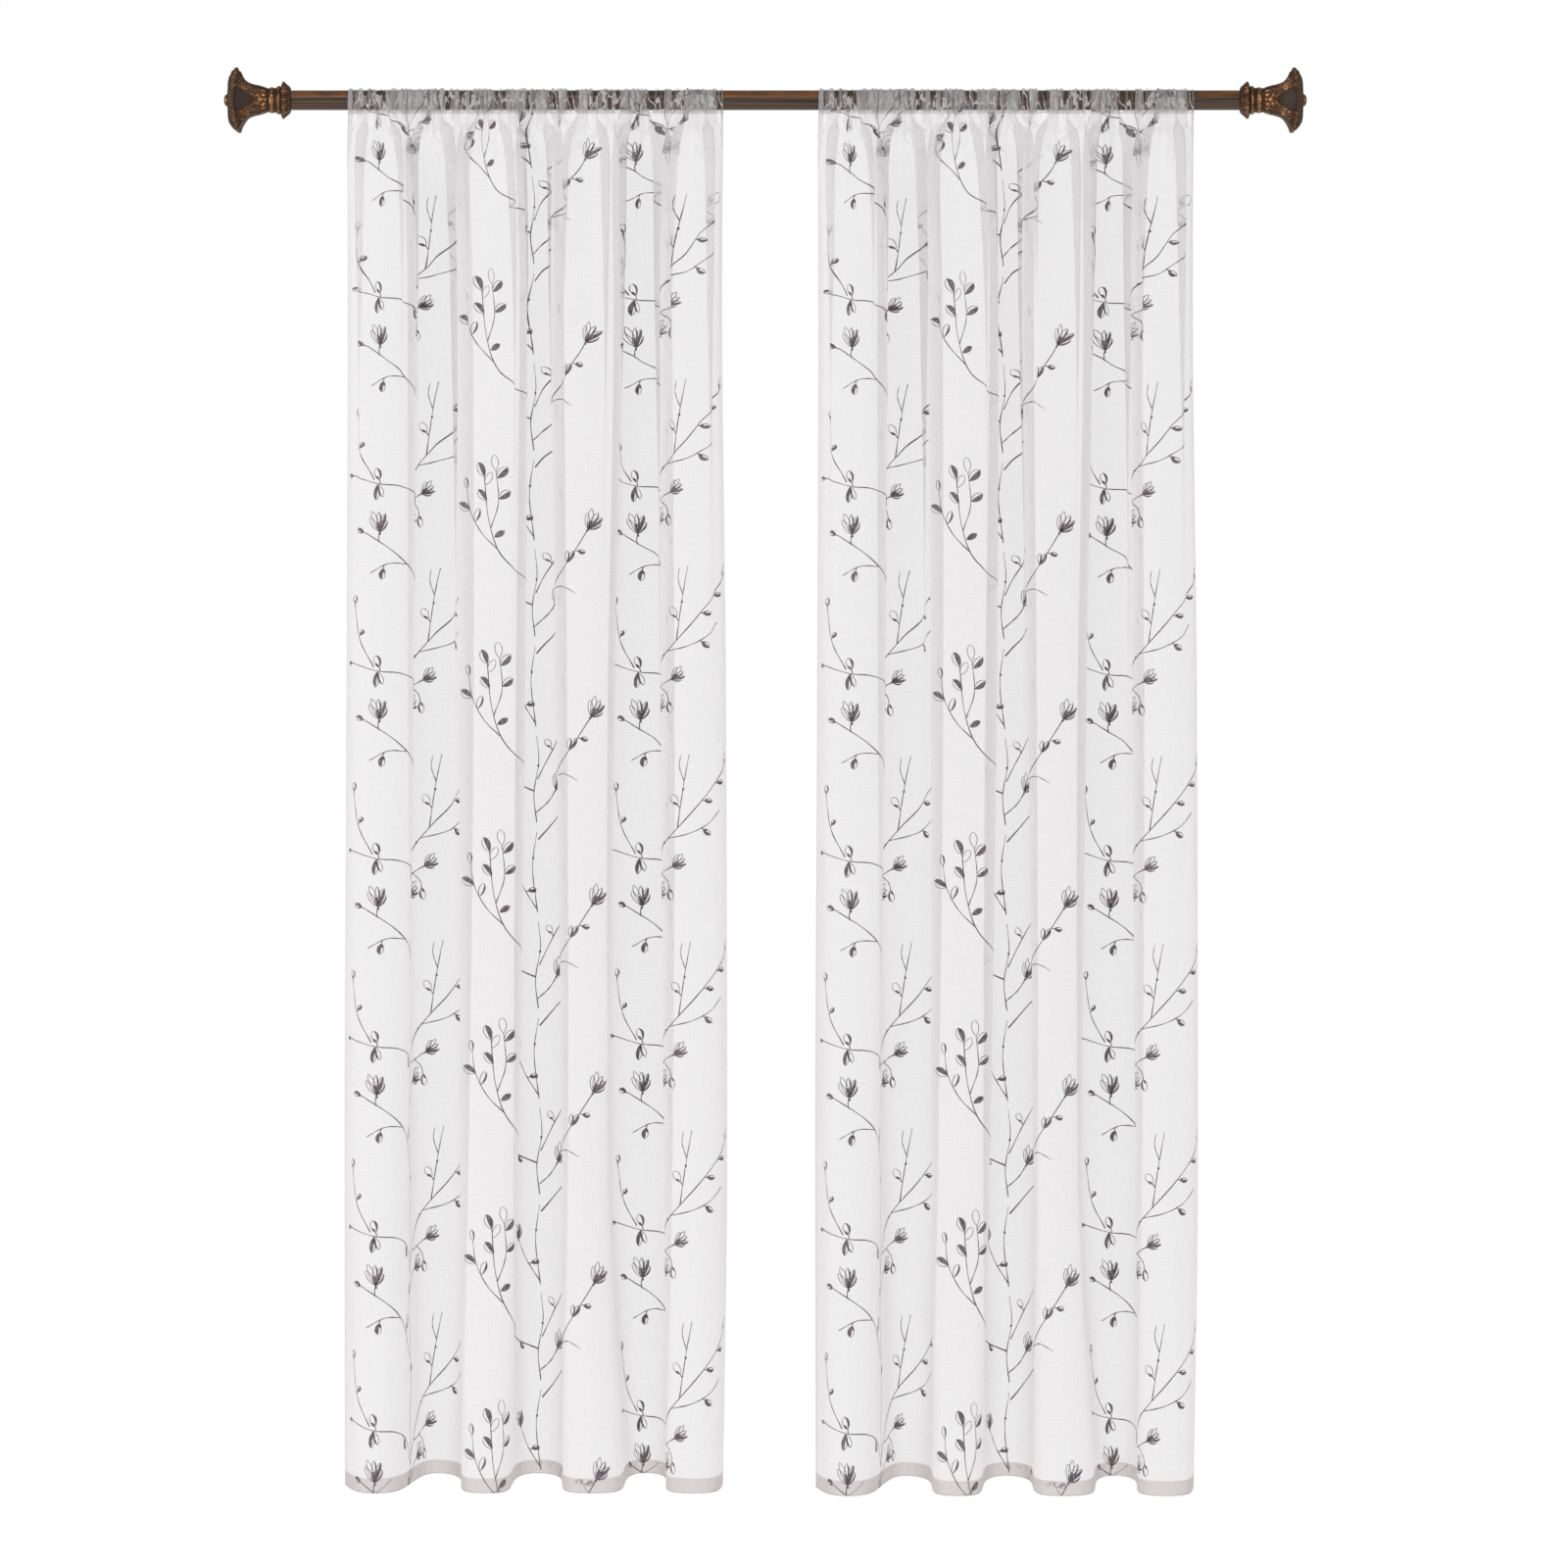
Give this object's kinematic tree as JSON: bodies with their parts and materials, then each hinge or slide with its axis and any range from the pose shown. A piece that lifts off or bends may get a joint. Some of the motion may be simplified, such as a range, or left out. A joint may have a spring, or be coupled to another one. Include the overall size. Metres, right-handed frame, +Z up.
{
  "type": "pair of sheer voile curtains on a curtain rod",
  "caption": "Sheer printed voile curtains, gathered by sewn rod pockets on a dark bronze curtain rod with square-flared finials.",
  "frame": {"origin": "middle of the curtain rod's axis", "axes": "+Z up, +X along the rod to the viewer's right, the viewer at -Y"},
  "size_m": [1.6406, 0.1489, 2.1507],
  "materials": {
    "rod_bronze": "antique bronze, brushed streaks along the rod",
    "finial_bronze": "antique bronze, rubbed to copper on the raised parts",
    "printed_voile": "sheer slub voile with a dark grey branch print"
  },
  "bodies": {
    "root": {"rod": "rod_bronze", "finial_left": "finial_bronze", "finial_right": "finial_bronze", "panel_left": "printed_voile", "panel_right": "printed_voile"}
  },
  "joints": []
}
